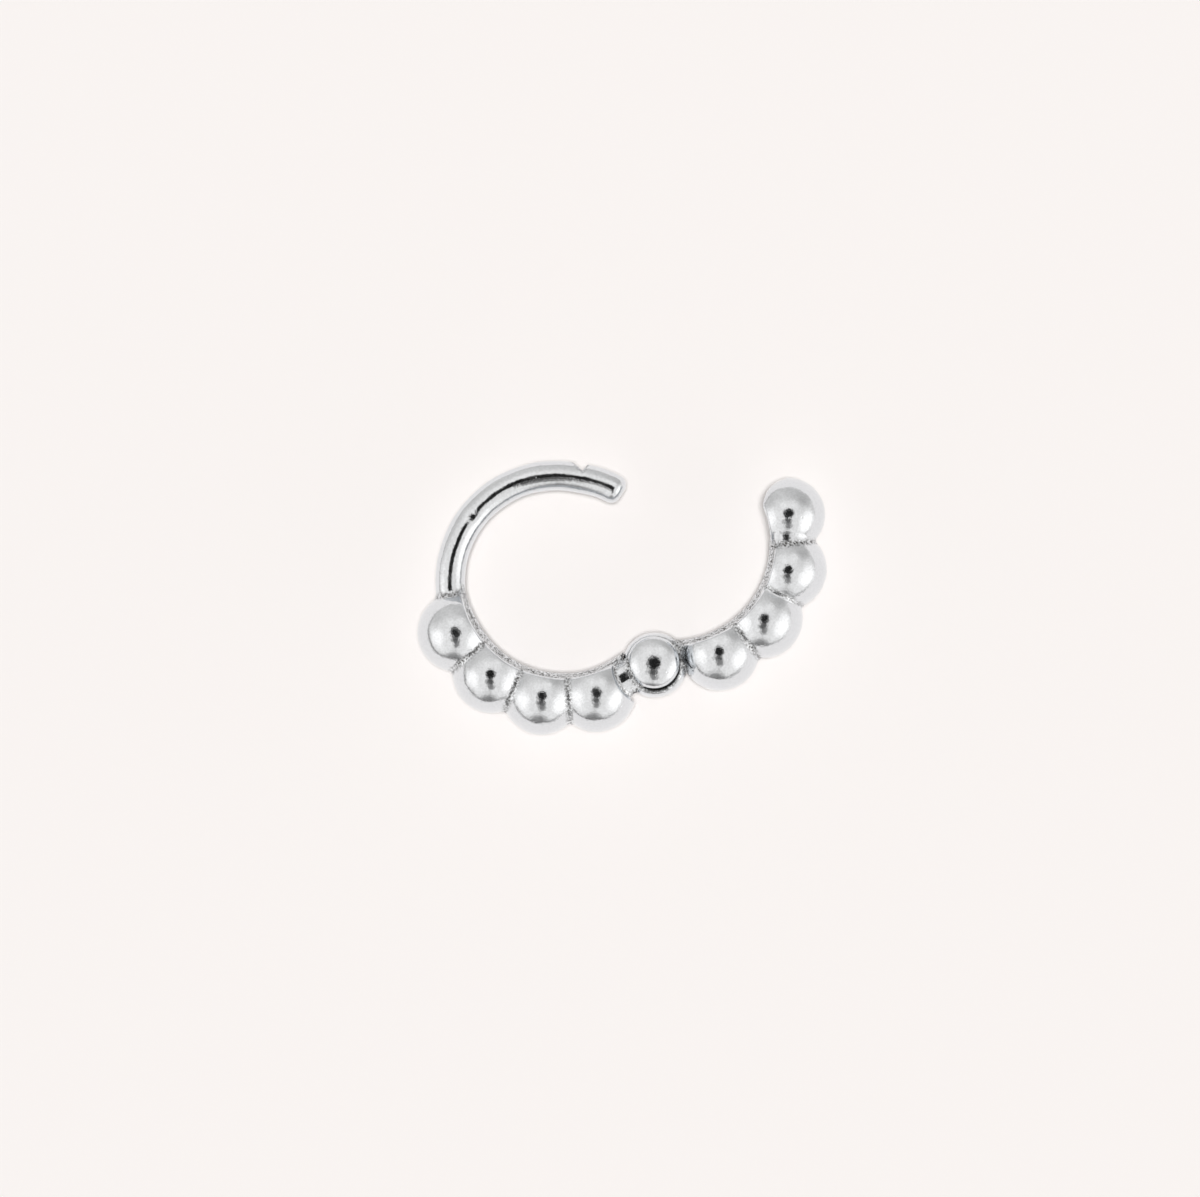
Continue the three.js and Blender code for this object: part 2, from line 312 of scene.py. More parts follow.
def bridge(p):
    middle = (BRIDGE_ANGLES["from"] + BRIDGE_ANGLES["to"]) / 2
    outward = side_of(p, (0, 0), middle)
    height = np.abs(p[:, 2])
    first, last = BRIDGE_SECTION[0], BRIDGE_SECTION[-1]
    half_length = (first[0] + last[0]) / 2 * math.tan(math.radians(BRIDGE_ANGLES["to"] - middle))
    field = np.abs(side_of(p, (0, 0), middle + 90)) - half_length
    field = common(field, common(first[0] - outward, outward - last[0], SHARP_EDGE), SHARP_EDGE)
    for (r1, h1), (r2, h2) in zip(BRIDGE_SECTION, BRIDGE_SECTION[1:]):
        length = math.hypot(r2 - r1, h2 - h1)
        above = ((height - h1) * (r2 - r1) - (outward - r1) * (h2 - h1)) / length
        field = common(field, above, SHARP_EDGE)
    return field


print("bridge:", len(BRIDGE_SECTION) - 1, "facets above and below")

# %% [markdown]
# The slot is sawn square at its back, and round where the knuckle turns in it. The caps are two buttons
# soldered over the hinge by eye: the photograph shows the front one a tenth of a millimetre off the pin's
# axis, so that one is set off it. A button is a short upright wall under a low dome.

# %% The saw slot and the caps
SLOT_BACK = {"distance": 0.75, "angle": 200.0}
FRONT_CAP_OFFSET = (-0.04, 0.1)


def hinge_slot(p):
    back = hinge + polar(SLOT_BACK["angle"], SLOT_BACK["distance"])
    angle = SLOT_BACK["angle"]
    square = np.maximum(-side_of(p, back, angle + 90), -side_of(p, back, angle + 180))
    outline = np.minimum(post(p, hinge, KNUCKLE["radius"] + RUNNING_GAP), square)
    return np.maximum(outline, slab(p, SLOT_HALF))


def hinge_cap(p):
    height = np.abs(p[:, 2]) - SLOT_HALF
    across = np.where(p[:, 2] > 0, post(p, hinge + FRONT_CAP_OFFSET, 0.0), post(p, hinge, 0.0))
    dome_height = CAP["height"] - CAP["wall"]
    above = np.maximum(height - CAP["wall"], 0)
    reach = np.sqrt((across / CAP["radius"]) ** 2 + (above / dome_height) ** 2)
    return common((reach - 1) * CAP["radius"], -height, EDGE)


print("front cap:", round(math.hypot(*FRONT_CAP_OFFSET), 2), "mm off the pin's axis")

# %% [markdown]
# Two marks are left on the bare wire. The notch that the hoop clicks into is filed across its outside, as a
# long ramp and a short step. The bending pliers left one shallow dent on top, where the photograph's long
# dark reflection breaks. A mirror shows it, so it is in the mesh and not only in the finish.

# %% The notch and the plier mark
NOTCH = {"ramp_start": 81.9, "floor": 75.9, "step_top": 74.6, "depth": 0.33}
NOTCH_REACH = 2.0
PLIER_MARK = {"angle": 142.5, "outward": 0.02, "depth": 0.045, "reach": 0.2}


def outward_of(p, a, b):
    """Negative on the right of the line from a to b."""
    return -side_of(p, a, math.degrees(math.atan2(a[0] - b[0], b[1] - a[1])))


def notch(p):
    start = outside_of_wire(NOTCH["ramp_start"], 0)
    floor = outside_of_wire(NOTCH["floor"], NOTCH["depth"])
    top = outside_of_wire(NOTCH["step_top"], 0)
    region = np.maximum(outward_of(p, floor, start), outward_of(p, top, floor))
    return np.maximum(region, post(p, floor, NOTCH_REACH))


def plier_mark(p):
    place = bare_wire_at(PLIER_MARK["angle"]) + polar(PLIER_MARK["angle"], PLIER_MARK["outward"])
    away = ((p - np.array((*place, WIRE_RADIUS))) ** 2).sum(axis=1)
    return PLIER_MARK["depth"] * np.exp(-away / (2 * PLIER_MARK["reach"] ** 2))


print("notch:", NOTCH["depth"], "mm deep, plier mark:", PLIER_MARK["depth"], "mm deep")

# %% [markdown]
# The fixed half: four beads fused side by side and trimmed to one round face towards the hole, the wire
# through them, and the bridge. The beads stop short of the hinge, where the casting was cleared for the
# caps. Everything is joined bead by bead first, and then the slot, the caps and the pin's blind bore are
# cut or added, as at the bench.

# %% The fixed half
CAP_CLEARING = 1.75


def fixed_parts(p):
    """The pieces that the casting is joined from, each as its own field."""
    clearing = post(p, hinge, CAP_CLEARING)
    beads = [ball(p, centre, BEAD_RADIUS) for centre in fixed_centres]
    trim = post(p, (0, 0), TRIM_RADIUS)
    beads = [cut(cut(bead, trim, TRIMMED_EDGE), clearing, EDGE) for bead in beads]
    wire = domed_tip(p, bent_wire(p, fixed_line, WIRE_RADIUS, FIXED_LINE_SEAM), 0.0)
    wire = cut(wire, notch(p), NOTCH_EDGE) + plier_mark(p)
    return beads + [wire, bridge(p)]


def fixed_field(p):
    field, *others = fixed_parts(p)
    for part in others:
        field = joined(field, part, BEAD_FILLET)
    field = cut(field, hinge_slot(p), SHARP_EDGE)
    field = joined(field, hinge_cap(p), SHARP_EDGE)
    bore = np.maximum(post(p, hinge, PIN_RADIUS + FITTED_GAP), p[:, 2] - pin_top - FITTED_GAP)
    return np.maximum(field, -bore) + waves(p)


print("the fixed half is joined from", len(fixed_parts(np.zeros((1, 3)))), "parts")

# %% [markdown]
# The swinging arm is worked out as it lies when the hoop is shut. Its end bead is a little smaller than the
# others, trimmed to its own face and filed off at one corner to let the wire's tip in. A plain oval collar
# runs from it to its neighbour, and the end bead is soldered to that neatly, so this joint is crisp where
# the others are soft.

# %% The end bead and its collar
NECK = {"across": 1.24, "high": 1.3, "half_length": 0.55, "inward": 0.08, "fillet": 0.05}
END_CORNER = {"outward": 0.27, "onward": 0.21, "radius": 1.26}


def end_bead(p):
    bead = ball(p, end_centre, END_BEAD_RADIUS)
    corner = end_centre + polar(END_BEAD_ANGLE, END_CORNER["outward"])
    corner = corner + polar(END_BEAD_ANGLE + 90, END_CORNER["onward"])
    angle = END_BEAD_ANGLE
    square = np.maximum(-side_of(p, corner, angle + 90), -side_of(p, corner, angle + 180))
    offcut = np.maximum(square, -post(p, corner, END_CORNER["radius"]))
    return cut(cut(bead, post(p, arm_centre, END_TRIM_RADIUS), EDGE), offcut, EDGE)


def neck(p):
    last = arm_centres[-1]
    middle = (last + end_centre) / 2
    along = end_centre - last
    facing = math.degrees(math.atan2(along[1], along[0]))
    across = side_of(p, middle, facing + 90) - NECK["inward"]
    oval = (np.sqrt((across / NECK["across"]) ** 2 + (p[:, 2] / NECK["high"]) ** 2) - 1) * NECK["across"]
    field = common(oval, np.abs(side_of(p, middle, facing)) - NECK["half_length"], EDGE)
    return cut(field, post(p, arm_centre, TRIM_RADIUS), SHARP_EDGE)


print("end bead:", 2 * END_BEAD_RADIUS, "mm across, collar:", 2 * NECK["across"], "mm")

# %% [markdown]
# The socket has to let the wire's tip in as the arm swings shut, so it is the wire itself, with clearance,
# swept a few degrees about the hinge in a handful of copies. The catch inside it is a small three-cornered
# ridge that drops into the notch: that is the click.

# %% The socket and its catch
SOCKET = {"clearance": 0.05, "sweep": 18.0, "copies": 7, "reach": 2.6}
RIDGE = {"from": 80.4, "crest": 77.7, "to": 76.3, "height": 0.2, "root": 0.207, "half": 0.31}
# Any distance that is well outside the metal does for the points that a field leaves out
FAR_OFF = 1.0


def tip_socket(p):
    near = np.flatnonzero(post(p, end_centre, SOCKET["reach"]) < 0)
    field = np.full(len(p), FAR_OFF)
    best = np.full(len(near), FAR_OFF)
    for turn in np.linspace(0, SOCKET["sweep"], SOCKET["copies"]):
        back = turned(p[near], -turn, hinge)
        wire = bent_wire(back, bare_line, WIRE_RADIUS + SOCKET["clearance"], BARE_LINE_SEAM)
        best = np.minimum(best, domed_tip(back, wire, SOCKET["clearance"]))
    field[near] = best
    return field


def catch_ridge(p):
    corners = [
        outside_of_wire(RIDGE["from"], -RIDGE["root"]),
        outside_of_wire(RIDGE["crest"], RIDGE["height"]),
        outside_of_wire(RIDGE["to"], -RIDGE["root"]),
    ]
    middle = np.array([[*np.mean(corners, axis=0), 0.0]])
    field = slab(p, RIDGE["half"])
    for a, b in zip(corners, corners[1:] + corners[:1]):
        facing = math.degrees(math.atan2(b[1] - a[1], b[0] - a[0])) + 90
        sign = 1 if side_of(middle, a, facing)[0] < 0 else -1
        field = common(field, sign * side_of(p, a, facing), SHARP_EDGE)
    return field


print("socket:", round(2 * (WIRE_RADIUS + SOCKET["clearance"]), 2), "mm across")

# %% [markdown]
# The arm's rail is a plain ring, cut off at the knuckle and at the end bead. The knuckle is a ball filed
# flat above and below to fit the slot, and it turns on the pin. The arm's points are turned back by the
# angle that it stands open, so one description serves open and shut.

# %% The swinging arm
# The rail lies within this angle of the +X side of the arm's centre
ARM_RAIL_SPAN = 120


def arm_rail(p):
    angle = np.degrees(np.arctan2(p[:, 1] - arm_centre[1], p[:, 0] - arm_centre[0]))
    ring = np.hypot(post(p, arm_centre, RAIL_RADIUS), p[:, 2]) - WIRE_RADIUS
    start = side_of(p, arm_centre, HINGE_ANGLE - 90)
    end = side_of(p, arm_centre, END_BEAD_ANGLE + 90)
    rail = common(ring, np.maximum(start, end), EDGE)
    return np.where(np.abs(angle) < ARM_RAIL_SPAN, rail, ring + FAR_OFF)


def knuckle(p):
    return common(ball(p, hinge, KNUCKLE["radius"]), slab(p, KNUCKLE["half"]), KNUCKLE["edge"])


def arm_parts(p):
    """The pieces that the arm is joined from, each as its own field."""
    trim = post(p, arm_centre, TRIM_RADIUS)
    beads = [cut(ball(p, centre, BEAD_RADIUS), trim, TRIMMED_EDGE) for centre in arm_centres]
    collared_end = joined(neck(p), end_bead(p), NECK["fillet"])
    return beads + [arm_rail(p), collared_end, knuckle(p)]


def arm_field(p):
    p = turned(p, OPEN_ANGLE, hinge)
    field, *others, collared_end, eye = arm_parts(p)
    for part in others:
        field = joined(field, part, BEAD_FILLET)
    for part in (collared_end, eye):
        field = joined(field, part, CRISP_FILLET)
    field = cut(field, tip_socket(p), SHARP_EDGE)
    field = joined(field, catch_ridge(p), SHARP_EDGE)
    return np.maximum(field, -post(p, hinge, PIN_RADIUS + RUNNING_GAP)) + waves(p)


print("the arm is joined from", len(arm_parts(np.zeros((1, 3)))), "parts")

# %% [markdown]
# A joint between two beads keeps what the polishing wheel can't reach: fine casting grain and grey tarnish.
# The parts tell where: wherever a second part comes as near to the surface as the first. A part whose
# distance is multiplied makes a narrower line, and one with a little added a fainter line. The same mask
# also paints shade. The web is the crease where the beads' trimmed faces meet the rail: tarnish in the
# crease, and painted shade over the steep inner face, fading slowly towards the hole and fast towards the
# beads. The line under the hinge cap is painted shade of the gap there.

# %% Where the grooves and the painted shade are
GROOVE_FULL = 0.02
GROOVE_REACH = 0.28
# The web's line: tarnish in the crease, and painted shade over the steep inner face towards the hole
WEB_TARNISH_AND_SHADE = {"to_beads": 3, "to_hole": -0.45, "upward": 0.5, "half": 0.5, "weaker": 0.02, "overlap": 0.2}
FILED_NOTCH_WEAKER = 0.12
FACET_NARROWER = 2
# The line round the knuckle under the cap is painted shade of the gap between them
CAP_GAP_SHADE = {"radius": 1.17, "narrower": 3}
SOLDER = {"narrower": 3, "weaker": 0.13}
COLLAR_NARROWER = 2
KNUCKLE_WIDER = 0.6


# Tarnish in the crease, with painted shade fading slowly over the inner face towards the hole
def web_tarnish_and_shade(p, centre, beads):
    outward = post(p, centre, TRIM_RADIUS)
    across = np.maximum(WEB_TARNISH_AND_SHADE["to_beads"] * outward, WEB_TARNISH_AND_SHADE["to_hole"] * outward)
    upward = WEB_TARNISH_AND_SHADE["upward"] * np.maximum(slab(p, WEB_TARNISH_AND_SHADE["half"]), 0)
    return np.maximum(np.hypot(across, upward) + WEB_TARNISH_AND_SHADE["weaker"], np.minimum.reduce(beads) - WEB_TARNISH_AND_SHADE["overlap"])


def fixed_grooves(p):
    """The filed notch stands twice in the list, so it makes a groove by itself, a faint one."""
    *beads, wire, facet = fixed_parts(p)
    filed = np.abs(notch(p)) + FILED_NOTCH_WEAKER
    facet = FACET_NARROWER * facet
    return beads + [wire, facet, web_tarnish_and_shade(p, (0, 0), beads), hinge_cap(p), hinge_slot(p), filed, filed]


def arm_grooves(p):
    """The solder at the collar is a fine line of its own, and so is the painted shade in the gap under the
    cap.
    """
    *beads, last_bead, rail, collared_end, eye = arm_parts(p)
    # Painted shade: a dark line where the knuckle's edge meets the gap under the cap
    cap_gap_shade = CAP_GAP_SHADE["narrower"] * np.hypot(post(p, hinge, CAP_GAP_SHADE["radius"]), slab(p, KNUCKLE["half"]))
    solder = SOLDER["narrower"] * np.hypot(neck(p), ball(p, end_centre, END_BEAD_RADIUS)) + SOLDER["weaker"]
    face = web_tarnish_and_shade(p, arm_centre, beads + [last_bead])
    last_bead, collared_end = COLLAR_NARROWER * last_bead, COLLAR_NARROWER * collared_end
    return beads + [last_bead, rail, face, collared_end, KNUCKLE_WIDER * eye, cap_gap_shade, solder]


def groove_mask(parts):
    """1 where a second piece meets the surface, fading to 0 at the groove's reach."""
    near = np.sort(np.abs(np.stack(parts)), axis=0)[1]
    return 1 - smoothstep(near, GROOVE_FULL, GROOVE_REACH)


between = np.array([[*(fixed_centres[0] + fixed_centres[1]) / 2, BEAD_RADIUS]])
print("groove mask above the first joint:", round(groove_mask(fixed_grooves(between))[0], 2))

# %% [markdown]
# A field becomes a mesh by a surface net: space is filled with small cubes, every cube that the surface
# passes through gets one vertex, and neighbouring cubes share a face. Blender's own metaballs or a voxel
# remesh work in the same way, but leave their vertices off the true surface. Here the field is known, so it
# is sampled first.

# %% Sample a field
NET_STEP = 0.05


def sampled(field, low, counts):
    """The field's values at a grid of points, one slice at a time."""
    xs, ys, zs = (low[i] + NET_STEP * np.arange(counts[i]) for i in range(3))
    y, z = np.meshgrid(ys, zs, indexing="ij")
    values = np.empty(counts)
    for i, x in enumerate(xs):
        values[i] = field(np.stack((np.full(y.size, x), y.ravel(), z.ravel()), axis=1)).reshape(y.shape)
    return values


print("net step:", NET_STEP, "mm, so a bead is", round(2 * BEAD_RADIUS / NET_STEP), "cubes across")

# %% [markdown]
# Each cube's vertex starts at the mean of the places where the surface crosses the cube's edges. Each grid
# edge that the surface crosses then makes one face, through the four cubes around it, turned to face out of
# the metal. Marching cubes would leave slivers, and this gives even, four-cornered faces.

# %% Surface net
def net_places(values, low):
    """The vertices, and for each cube the number of its vertex."""
    cubes = np.array(values.shape) - 1
    total = np.zeros((*cubes, 3))
    crossings = np.zeros(cubes)
    for axis in range(3):
        a = np.take(values, range(cubes[axis]), axis=axis)
        b = np.take(values, range(1, cubes[axis] + 1), axis=axis)
        crossed = (a < 0) != (b < 0)
        share = np.where(crossed, a / np.where(crossed, a - b, 1), 0)
        first, second = [other for other in range(3) if other != axis]
        for u in (0, 1):
            for v in (0, 1):
                window = [slice(None)] * 3
                window[first] = slice(u, u + cubes[first])
                window[second] = slice(v, v + cubes[second])
                window = tuple(window)
                offset = np.zeros((*cubes, 3))
                offset[..., axis] = share[window]
                offset[..., first] = u
                offset[..., second] = v
                total += offset * crossed[window][..., None]
                crossings += crossed[window]
    used = crossings > 0
    index = np.full(used.shape, -1)
    index[used] = np.arange(used.sum())
    places = low + NET_STEP * (np.argwhere(used) + total[used] / crossings[used][:, None])
    return places, index


def net_faces(inside, index):
    faces = []
    cubes = index.shape
    for axis in range(3):
        u, v = (axis + 1) % 3, (axis + 2) % 3
        low_side = np.take(inside, range(cubes[axis]), axis=axis)
        high_side = np.take(inside, range(1, cubes[axis] + 1), axis=axis)
        where = np.argwhere(low_side != high_side)
        keep = (where[:, u] > 0) & (where[:, v] > 0) & (where[:, u] < cubes[u]) & (where[:, v] < cubes[v])
        where = where[keep]
        corners = []
        for du, dv in ((-1, -1), (0, -1), (0, 0), (-1, 0)):
            cell = where.copy()
            cell[:, u] += du
            cell[:, v] += dv
            corners.append(index[tuple(cell.T)])
        quads = np.stack(corners, axis=1)
        outward = low_side[tuple(where.T)]
        quads[~outward] = quads[~outward][:, ::-1]
        faces.append(quads)
    return np.concatenate(faces)


def surface_net(field, low, high):
    counts = np.ceil((high - low) / NET_STEP).astype(int) + 1
    values = sampled(field, low, counts)
    places, index = net_places(values, low)
    return places, net_faces(values < 0, index)


def trial_ball(p):
    return ball(p, (0, 0), 1.0)


trial_places, trial_faces = surface_net(trial_ball, np.full(3, -1.2), np.full(3, 1.2))
print("trial ball, 2 mm across:", len(trial_places), "vertices,", len(trial_faces), "faces")

# %% [markdown]
# Where a corner is thinner than the cubes, such as the rail's last edge at the saw slot, the net can break
# off a speck that hangs by one edge. At the bench it would be wiped off as a burr. Each face gets a number,
# and the lowest spreads over every edge that two faces share, so each shell ends with one number, and the
# largest shell is kept.

# %% Wipe off the specks
def largest_shell(places, faces):
    ends = np.sort(np.stack((faces, np.roll(faces, -1, axis=1)), axis=2).reshape(-1, 2), axis=1)
    edge_names = ends[:, 0] * len(places) + ends[:, 1]
    _, edge, uses = np.unique(edge_names, return_inverse=True, return_counts=True)
    label = np.arange(len(faces))
    settled = False
    while not settled:
        lowest = np.full(len(uses), len(faces))
        np.minimum.at(lowest, edge, np.repeat(label, 4))
        lowest[uses != 2] = len(faces)
        spread = np.minimum(label, lowest[edge].reshape(-1, 4).min(axis=1))
        spread = spread[spread]
        settled = (spread == label).all()
        label = spread
    kept = faces[label == np.bincount(label).argmax()]
    used, number = np.unique(kept, return_inverse=True)
    return places[used], number.reshape(kept.shape)


print("trial ball's largest shell:", len(largest_shell(trial_places, trial_faces)[1]), "faces")

# %% [markdown]
# The net's vertices lie near the surface, not on it, and a mirror would show that. So each vertex slides
# along the field's slope until it lies on the surface. The slope is measured across a few thousandths of a
# millimetre, and it is the exact normal too, which shades far smoother than normals worked out from the
# faces.

# %% Slide onto the surface
SLOPE_REACH = 0.004
SLIDE_ROUNDS = 4
FLATTEST_SLOPE = 0.25


def slope_of(field, p):
    columns = []
    for axis in range(3):
        reach = np.zeros(3)
        reach[axis] = SLOPE_REACH
        columns.append((field(p + reach) - field(p - reach)) / (2 * SLOPE_REACH))
    return np.stack(columns, axis=1)


def slid_onto(field, p):
    for _ in range(SLIDE_ROUNDS):
        slope = slope_of(field, p)
        size = np.maximum((slope**2).sum(axis=1), FLATTEST_SLOPE)
        step = np.clip(field(p) / size, -NET_STEP, NET_STEP)
        p = p - slope * step[:, None]
    return p


off_by = np.abs(trial_ball(slid_onto(trial_ball, trial_places))).max()
print("trial ball's vertices lie within", round(off_by, 6), "mm of it")

# %% [markdown]
# Now the two castings are made. Each stands for its node in the model and rides on that node's body. The
# groove mask goes with the mesh as an attribute, one number for each vertex, because the finish needs it.

# %% The two castings
NET_MARGIN = 3 * NET_STEP


def add_net_piece(name, field, parts, turn, node, body):
    low, high = (np.array(corner) / MM - ring_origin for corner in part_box(node))
    places, faces = largest_shell(*surface_net(field, low - NET_MARGIN, high + NET_MARGIN))
    places = slid_onto(field, places)
    slope = slope_of(field, places)
    normals = slope / np.linalg.norm(slope, axis=1)[:, None]
    mask = groove_mask(parts(turned(places, turn, hinge)))

    mesh = bpy.data.meshes.new(name)
    mesh.from_pydata(((places + ring_origin) * MM).tolist(), [], faces.tolist())
    mesh.shade_smooth()
    mesh.normals_split_custom_set_from_vertices(normals.tolist())
    attribute = mesh.attributes.new("groove", "FLOAT", "POINT")
    attribute.data.foreach_set("value", mask.astype(np.float32))
    mesh.validate()
    piece = bpy.data.objects.new(name, mesh)
    bpy.context.scene.collection.objects.link(piece)
    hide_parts(node)
    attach(piece, body)
    print(f"{name}: {2 * len(faces)} triangles")
    return piece


fixed_half = add_net_piece("fixed_half_silver", fixed_field, fixed_grooves, 0.0, "wire_half", "fixed_half")
swinging_arm = add_net_piece(
    "swinging_arm_silver", arm_field, arm_grooves, OPEN_ANGLE, "swing_arm", "swinging_half"
)

# %% [markdown]
# The hinge pin is a piece of drawn wire pushed in from the back and trimmed flush, with its end peened to a
# low dome. A cylinder with a bevel comes close, but a peened end is a curve of its own, so a turned profile
# is spun about the axis, as on a lathe.

# %% Spin a turned profile
PIN_SIDES = 48


def spun_profile(name, profile, centre):
    """A closed body turned from a profile of radius and height that starts and ends on the axis."""
    rings = [row for row in profile if row[0] > 0]
    angles = np.linspace(0, 2 * math.pi, PIN_SIDES, endpoint=False)
    x, y = centre
    places = [(x + r * math.cos(a), y + r * math.sin(a), z) for r, z in rings for a in angles]
    faces = []
    for level in range(len(rings) - 1):
        for side in range(PIN_SIDES):
            a = level * PIN_SIDES + side
            b = level * PIN_SIDES + (side + 1) % PIN_SIDES
            faces.append((a, b, b + PIN_SIDES, a + PIN_SIDES))
    for end, level in ((profile[0], 0), (profile[-1], len(rings) - 1)):
        places.append((x, y, end[1]))
        for side in range(PIN_SIDES):
            a = level * PIN_SIDES + side
            b = level * PIN_SIDES + (side + 1) % PIN_SIDES
            faces.append((b, a, len(places) - 1) if level == 0 else (a, b, len(places) - 1))
    mesh = bpy.data.meshes.new(name)
    mesh.from_pydata(((np.array(places) + ring_origin) * MM).tolist(), [], faces)
    mesh.shade_smooth()
    return bpy.data.objects.new(name, mesh)


print("a spun body has", PIN_SIDES, "flat sides, shaded round")

# %% [markdown]
# The pin's profile starts on the axis at the back, runs round the peened dome and up the side, and ends
# flat with a small chamfer under the front cap's skin, where nobody sees it.

# %% Hinge pin
PEEN_HEIGHT = 0.05
PEEN_POINTS = 9
PIN_CHAMFER = 0.06

pin_low = -(SLOT_HALF + CAP["height"])
peened_end = [
    (PIN_RADIUS * math.sin(t), pin_low + PEEN_HEIGHT * (1 - math.cos(t)))
    for t in np.linspace(0, math.pi / 2, PEEN_POINTS)
]
chamfered_end = [(PIN_RADIUS, pin_top - PIN_CHAMFER), (PIN_RADIUS - PIN_CHAMFER, pin_top), (0.0, pin_top)]
pin = spun_profile("peened_hinge_pin", peened_end + chamfered_end, hinge)
bpy.context.scene.collection.objects.link(pin)
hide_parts("hinge_pin")
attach(pin, "fixed_half")
print("pin:", round(pin_top - pin_low, 2), "mm long")

# %% [markdown]
# Materials are built from nodes. One small function adds a node, sets it and links it, one turns an sRGB
# hex colour into the linear numbers that a shader needs, and one turns a real size into a texture's scale.

# %% Node and colour helpers
def linear(hex_colour):
    values = [int(hex_colour[i : i + 2], 16) / 255 for i in (1, 3, 5)]
    return tuple(v / 12.92 if v <= 0.04045 else ((v + 0.055) / 1.055) ** 2.4 for v in values) + (1.0,)


def add(tree, kind, settings=(), **inputs):
    """A node with its settings, and its inputs given as values or as another node's output."""
    node = tree.nodes.new("ShaderNode" + kind)
    for name, value in dict(settings).items():
        setattr(node, name, value)
    for name, value in inputs.items():
        socket = node.inputs[int(name[1:])] if name[0] == "i" and name[1:].isdigit() else node.inputs[name]
        if isinstance(value, bpy.types.NodeSocket):
            tree.links.new(value, socket)
        else:
            socket.default_value = value
    return node


def per_mm(size):
    """A texture's scale for a pattern of that size in millimetres."""
    return 1 / (size * MM)


print("middle grey #808080 is", round(linear("#808080")[0], 3), "in linear light")

# %% [markdown]
# Sterling silver, cast, then polished on a wheel. Polished silver reflects more than nine tenths of the
# light, and its grey is nearly neutral. It is never a perfect mirror: fine wear blurs it slightly and
# unevenly. In the grooves, where the wheel doesn't reach, the casting's grain stays and goes grey. The same
# dark grey is also painted shade, in the gap under the hinge cap and over the steep inner face. A dark
# colour painted there would look like a drawn line, so the grain decides which specks are dark.

# %% Silver's colours and sizes
POLISHED = "#E7EBEF"
# A dark grey for tarnish in the grooves, and for painted shade under the cap and on the inner face
TARNISH_AND_SHADE = "#575654"

# Casting grain is about 0.05 mm, but that is hardly a pixel wide, so it is drawn at 0.09 mm
GRAIN_SIZE = 0.09
WEAR_PATCH_SIZE = 0.9
RIPPLE_SIZE = 0.45
PIT_SPACING = 0.5
RELIEF = 0.012

# How much of the groove's grain is left on the polished faces, and how much deeper it is in the grooves
FINE_GRAIN = 0.28
GROOVE_GRAIN = 1.6
# How much of the grain shows as a faint speckle on the polished faces, and how dark a groove's bottom is
FACE_SPECKLE = 0.07
GROOVE_CORE = 0.35
# How much rougher the tarnish and the painted shade are than the metal round them
TARNISH_AND_SHADE_ROUGHNESS = 0.25
print("silver reflects", [round(v, 2) for v in linear(POLISHED)[:3]])

# %% [markdown]
# Tarnish and painted shade first: a share from 0 to 1 for every point, which both colour and roughness
# use. It follows the groove mask, broken up by the grain, and the bottom of a groove is never quite clean.
# Under the hinge cap and over the web's inner face, this share is painted shade.

# %% Tarnish in the grooves, and painted shade
def tarnish_and_shade(tree, groove, grain):
    speckle = add(tree, "MapRange", Value=grain, **{"From Min": 0.4, "From Max": 0.62}).outputs["Result"]
    share = add(tree, "Math", {"operation": "ADD"}, i0=groove, i1=FACE_SPECKLE).outputs[0]
    grime_and_shade = add(tree, "Math", {"operation": "MULTIPLY"}, i0=share, i1=speckle).outputs[0]
    core = add(
        tree, "MapRange", Value=groove, **{"From Min": 0.86, "From Max": 1.0, "To Max": GROOVE_CORE}
    ).outputs["Result"]
    return add(tree, "Math", {"operation": "MAXIMUM"}, i0=grime_and_shade, i1=core).outputs[0]


print("tarnish:", TARNISH_AND_SHADE, "with a share of", FACE_SPECKLE, "on the open faces")

# %% [markdown]
# Then the relief, all of it about a hundredth of a millimetre high. The grain is strong in the grooves and
# nearly gone on the faces, the wheel leaves a slow ripple, and here and there is a casting pit: a small
# round dot at the middle of a few cells of a Voronoi pattern, chosen by each cell's own random colour.

# %% Grain, ripple and pits
def cast_relief(tree, place, groove, grain):
    multiply, multiply_add = {"operation": "MULTIPLY"}, {"operation": "MULTIPLY_ADD"}
    depth = add(tree, "Math", multiply_add, i0=groove, i1=GROOVE_GRAIN, i2=FINE_GRAIN).outputs[0]
    grain_height = add(tree, "Math", multiply, i0=grain, i1=depth).outputs[0]
    ripple = add(tree, "TexNoise", Vector=place, Scale=per_mm(RIPPLE_SIZE), Detail=4.0, Roughness=0.6)
    ripple = ripple.outputs["Fac"]
    ripple = add(tree, "Bump", Strength=1.0, Distance=RELIEF * MM, Height=ripple).outputs[0]
    cell = add(tree, "TexVoronoi", Vector=place, Scale=per_mm(PIT_SPACING)).outputs
    pit = add(tree, "MapRange", Value=cell["Distance"], **{"From Min": 0.12, "From Max": 0.04})
    pit = pit.outputs[0]
    rare = add(tree, "SeparateColor", Color=cell["Color"]).outputs[0]
    rare = add(tree, "MapRange", Value=rare, **{"From Min": 0.8, "From Max": 0.84}).outputs[0]
    pit = add(tree, "Math", multiply, i0=pit, i1=rare).outputs[0]
    pitted = add(tree, "Math", multiply_add, i0=pit, i1=-1.0, i2=grain_height).outputs[0]
    return add(tree, "Bump", Strength=1.0, Distance=RELIEF * MM, Height=pitted, Normal=ripple).outputs[0]


print("relief:", RELIEF, "mm, one cell for a pit every", PIT_SPACING, "mm")

# %% [markdown]
# The finish puts these together. A metal's metallic is 1 and its IOR stays at the default. A polished
# casting has a roughness of about 0.1, and drawn wire that was only trimmed and peened is duller, so the
# two finishes differ in their wear alone.

